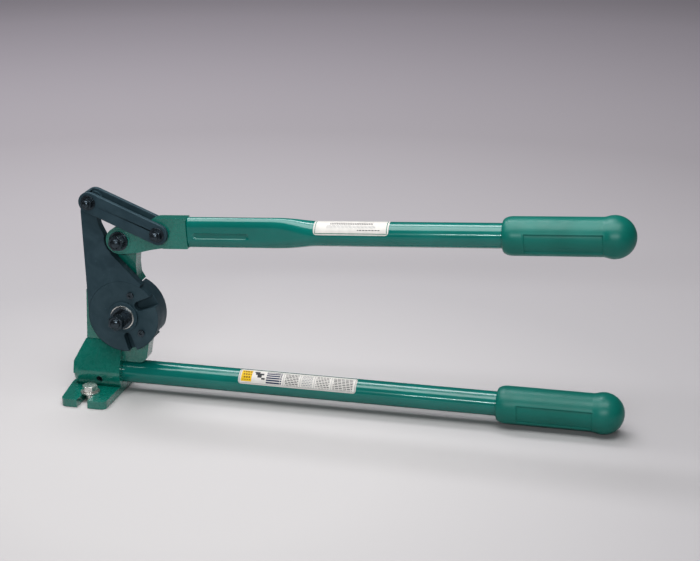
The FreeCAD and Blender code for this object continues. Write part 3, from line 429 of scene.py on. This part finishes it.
def gripPoints(spec):
    # radius against length: mouth ring, quarter-ellipse shoulder, then the larger of a straight
    # sleeve and a ball, joined by a smooth maximum; the panel sinks a rectangle into the front
    turn = np.linspace(0, np.pi / 2, 16)
    shoulderX = spec["shoulder"] * (1 - np.cos(turn))
    shoulderR = spec["mouth"] + (spec["radius"] - spec["mouth"]) * np.sin(turn)
    ballX = spec["length"] - spec["ball"]
    ballTurn = np.linspace(math.radians(spec["ballStart"]), 0.012, 64)
    ballPathX = ballX + spec["ball"] * np.cos(ballTurn)
    sleeveX = np.linspace(spec["shoulder"], ballPathX[0], 190)[1:-1]
    beyond = np.concatenate([sleeveX, ballPathX])
    ballR = np.sqrt(np.maximum(spec["ball"] ** 2 - (beyond - ballX) ** 2, 0))
    straight = spec["radius"] - 6 * smoothStep((beyond - ballX + 9) / 10)
    gap = np.clip(0.5 + 0.5 * (ballR - straight) / spec["blend"], 0, 1)
    joined = straight * (1 - gap) + ballR * gap + spec["blend"] * gap * (1 - gap)
    joined = np.where(beyond > ballX, ballR, joined)
    x = np.concatenate([[1.2], [0.2], shoulderX, beyond])
    r = np.concatenate([[spec["bore"]], [spec["bore"] + 0.9], shoulderR, joined])
    around = np.linspace(0, 2 * np.pi, spec["columns"], endpoint=False)
    # angle measured as height above the front's level line
    height = np.degrees(np.arctan2(np.sin(around), np.cos(around)))
    arc = np.radians(height - spec["panelMiddle"]) * spec["radius"]
    inX = np.minimum(x - spec["panelStart"], spec["panelEnd"] - x)[:, None]
    inArc = (spec["panelHalf"] - np.abs(arc))[None, :]
    inside = np.minimum(inX, inArc)
    sink = smoothStep(inside / spec["panelEdge"] + 0.5) * spec["panelDepth"]
    rim = smoothStep(1 - np.abs(inside + 1.0) / 1.3) * spec["panelRim"]
    body = r[:, None] - (sink - rim) * ((x > 15) & (x < 140))[:, None]
    seam = spec["seamHeight"] * smoothStep(1 - np.abs(np.abs(height) - 90) / 1.6)[None, :]
    body = body + seam * ((x > 3) & (r > 8))[:, None]
    y = -body * np.cos(around)[None, :]
    z = body * np.sin(around)[None, :]
    return np.stack([np.repeat(x[:, None], spec["columns"], axis=1), y, z], axis=-1) * mm


gripPlaces = [
    # name, node it replaces, body, turn, tube axis, distance of the mouth along it
    ("upperGripSleeve", "upper_grip", "upper_handle", handleTurn, upperAxis, 528.0),
    ("lowerGripSleeve", "lower_grip", "base", Matrix.Identity(4), lowerAxis, 567.7),
]
for name, node, body, turn, axis, start in gripPlaces:
    shape = gripPoints(gripSet)
    shape[..., 0] += start * mm
    mesh = gridMesh(name, placed(shape, turn, axis))
    sleeve = linkPiece(name, mesh, body, "grip_vinyl")
    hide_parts(node)
print("handles and grips made")

fastenerEdges = [
    # name, node it replaces, body, width of the rolled edge in millimetres
    ("studNutHexes", "stud_nuts", "base", 0.35), ("pivotNutHex", "handle_pivot_nut", "base", 0.35),
    ("linkNutHexes", "link_nuts", "links", 0.3), ("footBoltHeads", "foot_bolts", "base", 0.4),
    ("studWasherRings", "stud_washers", "base", 0.25), ("thrustRingDisc", "arm_thrust_ring", "arm", 0.5),
    ("studCollarDisc", "stud_collar", "base", 0.5), ("pivotWasherDisc", "handle_pivot_washer", "base", 0.5),
    ("dieScrewHeads", "die_cap_screws", "arm", 0.35),
    ("linkWasherDiscs", "link_washers", "links", 0.35), ("footWasherDiscs", "foot_washers", "base", 0.4),
]
nutJoint = (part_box("stud_nuts")[0].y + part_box("stud_collar")[0].y) / 2  # two nuts, front ones
for name, node, body, width in fastenerEdges:
    softened(name, node, body, width, 2, joint=nutJoint if node == "stud_nuts" else None)

armPin = Vector((0.0075, 0, 0.284))  # metres
threadSet = [
    # name, body, centre, where it starts, where it ends, radius and pitch in millimetres
    ("studThread", "base", pivots["arm_hinge"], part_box("stud_nuts")[0][1], -61.3, 6.35, 1.95),
    ("pivotBoltThread", "base", handlePivot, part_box("handle_pivot_nut")[0][1], -46.3, 6.35, 1.95),
    ("lowerLinkThread", "links", armPin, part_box("link_nuts")[0][1], -48.0, 4.76, 1.59),
    ("upperLinkThread", "links", pivots["link_hinge"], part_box("link_nuts")[0][1], -48.0, 4.76, 1.59),
]
threadShape = {
    "columns": 56, "perPitch": 9, "ridge": 0.42, "lift": 0.04, "fade": 0.9,
    "overlap": 0.4, "tip": 0.25, "tipDrop": 0.385,
}


def threadPoints(centre, start, end, radius, pitch):
    # a ridge wound round a rod: the height is a triangle wave of length over pitch minus
    # the turn, and a smooth step rounds the rod's end over its last millimetre
    along = np.arange(0, start - end, pitch / threadShape["perPitch"])
    along = np.append(along, start - end)
    around = np.linspace(0, 2 * np.pi, threadShape["columns"], endpoint=False)
    phase = along[:, None] / pitch - around[None, :] / (2 * np.pi)
    ridge = np.abs(2 * (phase - np.floor(phase)) - 1)
    fade = smoothStep((start - end - along) / threadShape["fade"])[:, None]
    crest = threadShape["ridge"] * np.clip(ridge * 1.3 - 0.15, 0, 1) * fade
    reach = radius + threadShape["lift"] + crest
    atTip = along[:, None] > start - end - threadShape["tip"]
    reach = np.where(atTip, reach - threadShape["tipDrop"] * (1 - fade), reach)
    x = centre.x / mm + reach * np.cos(around)
    z = centre.z / mm + reach * np.sin(around)
    y = np.repeat((start - along)[:, None], threadShape["columns"], axis=1)
    return np.stack([x, y, z], axis=-1) * mm


for name, body, centre, start, end, radius, pitch in threadSet:
    first = start / mm + threadShape["overlap"]
    mesh = gridMesh(name, threadPoints(centre, first, end, radius, pitch))
    linkPiece(name, mesh, body, "dark_fastener")
print("fasteners finished")

labelSet = {
    # length and corner radius in millimetres, lowest and highest angle round the tube
    "upper": {"length": 102.0, "low": 9.0, "high": 108.0, "corner": 5.0},
    "lower": {"length": 168.0, "low": 8.0, "high": 92.0, "corner": 4.0},
    "lift": 0.15, "radius": 16.7, "thickness": 0.14, "rows": 90, "columns": 40,
}


def labelMesh(name, spec, turn, axis, start):
    # a thin sheet wrapped on the tube: length along it, arc round it, corners rounded by
    # pulling the grid's ends in; u and v run over the sheet in millimetres
    rows, columns = labelSet["rows"], labelSet["columns"]
    u = np.linspace(0, spec["length"], rows)
    width = math.radians(spec["high"] - spec["low"]) * labelSet["radius"]
    v = np.linspace(0, width, columns)
    edge = np.minimum(v, width - v)
    inset = np.where(edge < spec["corner"], spec["corner"] - np.sqrt(np.maximum(
        spec["corner"] ** 2 - (spec["corner"] - edge) ** 2, 0)), 0)
    uu = inset[None, :] + (u / spec["length"])[:, None] * (spec["length"] - 2 * inset)[None, :]
    vv = np.repeat(v[None, :], rows, axis=0)
    angle = math.radians(spec["low"]) + vv / labelSet["radius"]
    radius = labelSet["radius"] + labelSet["lift"]
    top = np.stack([start + uu, -radius * np.cos(angle), radius * np.sin(angle)], axis=-1) * mm
    top = placed(top, turn, axis)
    index = np.arange(rows * columns).reshape(rows, columns)
    quads = np.stack([index[:-1, :-1], index[1:, :-1], index[1:, 1:], index[:-1, 1:]], -1).reshape(-1, 4)
    mesh = bpy.data.meshes.new(name)
    mesh.from_pydata(top.reshape(-1, 3).tolist(), [], quads.tolist())
    layer = mesh.uv_layers.new(name="sheet")
    corners = np.zeros(len(mesh.loops), dtype=np.int32)
    mesh.loops.foreach_get("vertex_index", corners)
    sheet = np.stack([uu.reshape(-1), vv.reshape(-1)], -1)[corners] / 100.0
    layer.data.foreach_set("uv", sheet.reshape(-1).astype(np.float32))
    return mesh


def sheetAxis(made, which):
    # position on the sheet in millimetres, along its length or across it
    uv = addNode(made, "UVMap", {"uv_map": "sheet"}).outputs["UV"]
    axis = addNode(made, "SeparateXYZ", Vector=uv).outputs["X" if which == "u" else "Y"]
    return mathNode(made, "MULTIPLY", axis, 100.0)


def mathNode(made, operation, first, second=0.0):
    node = addNode(made, "Math", {"operation": operation})
    for number, amount in enumerate((first, second)):
        if isinstance(amount, bpy.types.NodeSocket):
            made.node_tree.links.new(amount, node.inputs[number])
        else:
            node.inputs[number].default_value = amount
    return node.outputs["Value"]


def between(made, value, low, high):
    above = mathNode(made, "GREATER_THAN", value, low)
    below = mathNode(made, "LESS_THAN", value, high)
    return mathNode(made, "MULTIPLY", above, below)


def boxMask(made, u, v, box):
    left, right, bottom, top = box
    return mathNode(made, "MULTIPLY", between(made, u, left, right), between(made, v, bottom, top))


def ruledLines(made, u, v, box, pitch, share, wordPitch, wordShare, seed):
    # rows of short bars: a repeat across the sheet times a broken repeat along it
    step = mathNode(made, "DIVIDE", v, pitch)
    row = mathNode(made, "LESS_THAN", mathNode(made, "FRACT", step), share)
    shift = mathNode(made, "MULTIPLY", mathNode(made, "FLOOR", step), seed)
    place = mathNode(made, "DIVIDE", mathNode(made, "ADD", u, shift), wordPitch)
    word = mathNode(made, "LESS_THAN", mathNode(made, "FRACT", place), wordShare)
    return mathNode(made, "MULTIPLY", mathNode(made, "MULTIPLY", row, word), boxMask(made, u, v, box))


def labelMaterial(name, marks):
    made = newMaterial(name, (0.60, 0.59, 0.56), 0.5, specular=0.25)
    u = sheetAxis(made, "u")
    v = sheetAxis(made, "v")
    paper = ramp(made, objectNoise(made, 120, 3), [(0.3, (0.56, 0.55, 0.52)), (0.7, (0.63, 0.62, 0.59))])
    for kind, tint, details in marks:
        if kind == "box":
            mask = boxMask(made, u, v, details)
        else:
            mask = ruledLines(made, u, v, *details)
        paper = blendColors(made, mask, paper, (*tint, 1))
    plug(made, paper, "Base Color")
    plug(made, ramp(made, objectNoise(made, 200, 3), [(0.3, grey(0.42)), (0.7, grey(0.56))]), "Roughness")
    bumpFrom(made, [(objectNoise(made, 150, 3), 0.15, 0.0002)])
    return made


ink = (0.03, 0.035, 0.04)
navy = (0.02, 0.03, 0.07)
softInk = (0.22, 0.23, 0.24)
frameGreen = (0.010, 0.13, 0.09)
upperLabelPaper = labelMaterial("upperLabelPaper", [
    ("box", frameGreen, (2.2, 99.8, 2.0, 2.9)), ("box", frameGreen, (2.2, 99.8, 26.0, 26.9)),
    ("box", frameGreen, (2.2, 3.1, 2.0, 26.9)), ("box", frameGreen, (98.9, 99.8, 2.0, 26.9)),
    ("lines", ink, ((22, 80, 16.1, 19.4), 2.3, 0.6, 3.1, 0.78, 0.9)),
    ("lines", softInk, ((18, 84, 10.0, 14.6), 1.9, 0.4, 5.3, 0.85, 1.7)),
    ("lines", ink, ((60, 90, 6.0, 8.6), 2.2, 0.5, 4.1, 0.72, 2.3)),
])
lowerLabelPaper = labelMaterial("lowerLabelPaper", [
    ("box", softInk, (1.6, 166.4, 1.6, 2.1)), ("box", softInk, (1.6, 2.2, 1.6, 22.9)),
    ("box", softInk, (165.8, 166.4, 1.6, 22.9)),
    ("box", (0.66, 0.43, 0.015), (4.0, 19.0, 4.0, 21.5)),
    ("lines", (0.12, 0.07, 0.01), ((6, 18, 6.0, 20.0), 4.4, 0.55, 3.4, 0.62, 1.2)),
    ("box", ink, (24.0, 36.0, 14.5, 17.5)), ("box", ink, (27.0, 33.0, 10.5, 14.5)),
    ("box", ink, (22.5, 30.0, 17.5, 20.0)), ("box", ink, (33.0, 38.0, 8.0, 10.5)),
    ("lines", navy, ((40, 62, 3.0, 21.5), 3.4, 0.62, 30.0, 0.98, 0.0)),
    ("box", softInk, (64.5, 65.0, 2.5, 22.0)), ("box", softInk, (88.5, 89.0, 2.5, 22.0)),
    ("box", softInk, (108.5, 109.0, 2.5, 22.0)), ("box", softInk, (132.5, 133.0, 2.5, 22.0)),
    ("lines", ink, ((67, 86, 3.0, 21.5), 2.4, 0.5, 4.7, 0.82, 1.3)),
    ("lines", softInk, ((91, 106, 3.0, 21.5), 2.4, 0.5, 3.9, 0.8, 2.1)),
    ("lines", ink, ((111, 130, 3.0, 21.5), 2.4, 0.45, 4.3, 0.76, 1.1)),
    ("lines", ink, ((135, 163, 3.0, 21.5), 2.4, 0.48, 5.6, 0.84, 0.7)),
])
labelPlaces = [
    ("upperLabel", "upper", upperLabelPaper, "upper_handle", handleTurn, upperAxis, 277.5),
    ("lowerLabel", "lower", lowerLabelPaper, "base", Matrix.Identity(4), lowerAxis, 207.0),
]
for name, kind, paper, body, turn, axis, start in labelPlaces:
    mesh = labelMesh(name, labelSet[kind], turn, axis, start)
    sticker = linkPiece(name, mesh, body, paper)
    paperWall = sticker.modifiers.new("paper", "SOLIDIFY")
    paperWall.thickness = labelSet["thickness"] * mm
    paperWall.offset = -1
print("labels laid on")

# painted light falloff on the floor: tints from near the object out to far back
floorSet = {
    "near": (0.50, 0.495, 0.495), "mid": (0.41, 0.405, 0.415),
    "far": (0.40, 0.385, 0.405), "back": (0.60, 0.57, 0.62),
    "middle": (0.2, -0.2, 0.0), "half": 6.0, "drop": 0.0005,
}
floorMesh = bpy.data.meshes.new("studioFloor")
edge = floorSet["half"]
floorCorners = [(-edge, -edge, 0), (edge, -edge, 0), (edge, edge, 0), (-edge, edge, 0)]
floorMesh.from_pydata(floorCorners, [], [(0, 1, 2, 3)])
floor = bpy.data.objects.new("studioFloor", floorMesh)
bpy.context.scene.collection.objects.link(floor)
floor.location.z = -floorSet["drop"]
# plain paper with painted light falloff: its tint follows the distance from the object, lighter near it, darker
# further out, lighter again far back
floorPaintedFalloff = newMaterial("studioPaintedFalloffPaper", floorSet["near"], 0.9)
floorSpot = addNode(floorPaintedFalloff, "TexCoord").outputs["Object"]
floorReach = addNode(floorPaintedFalloff, "VectorMath", {"operation": "DISTANCE"}).outputs["Value"]
floorPaintedFalloff.node_tree.links.new(floorSpot, floorReach.node.inputs[0])
floorReach.node.inputs[1].default_value = floorSet["middle"]
plug(floorPaintedFalloff, ramp(floorPaintedFalloff, mathNode(floorPaintedFalloff, "DIVIDE", floorReach, floorSet["half"]), [
    (0.04, floorSet["near"]), (0.12, floorSet["mid"]), (0.30, floorSet["far"]), (0.56, floorSet["back"]),
]), "Base Color")
floorMesh.materials.append(floorPaintedFalloff)
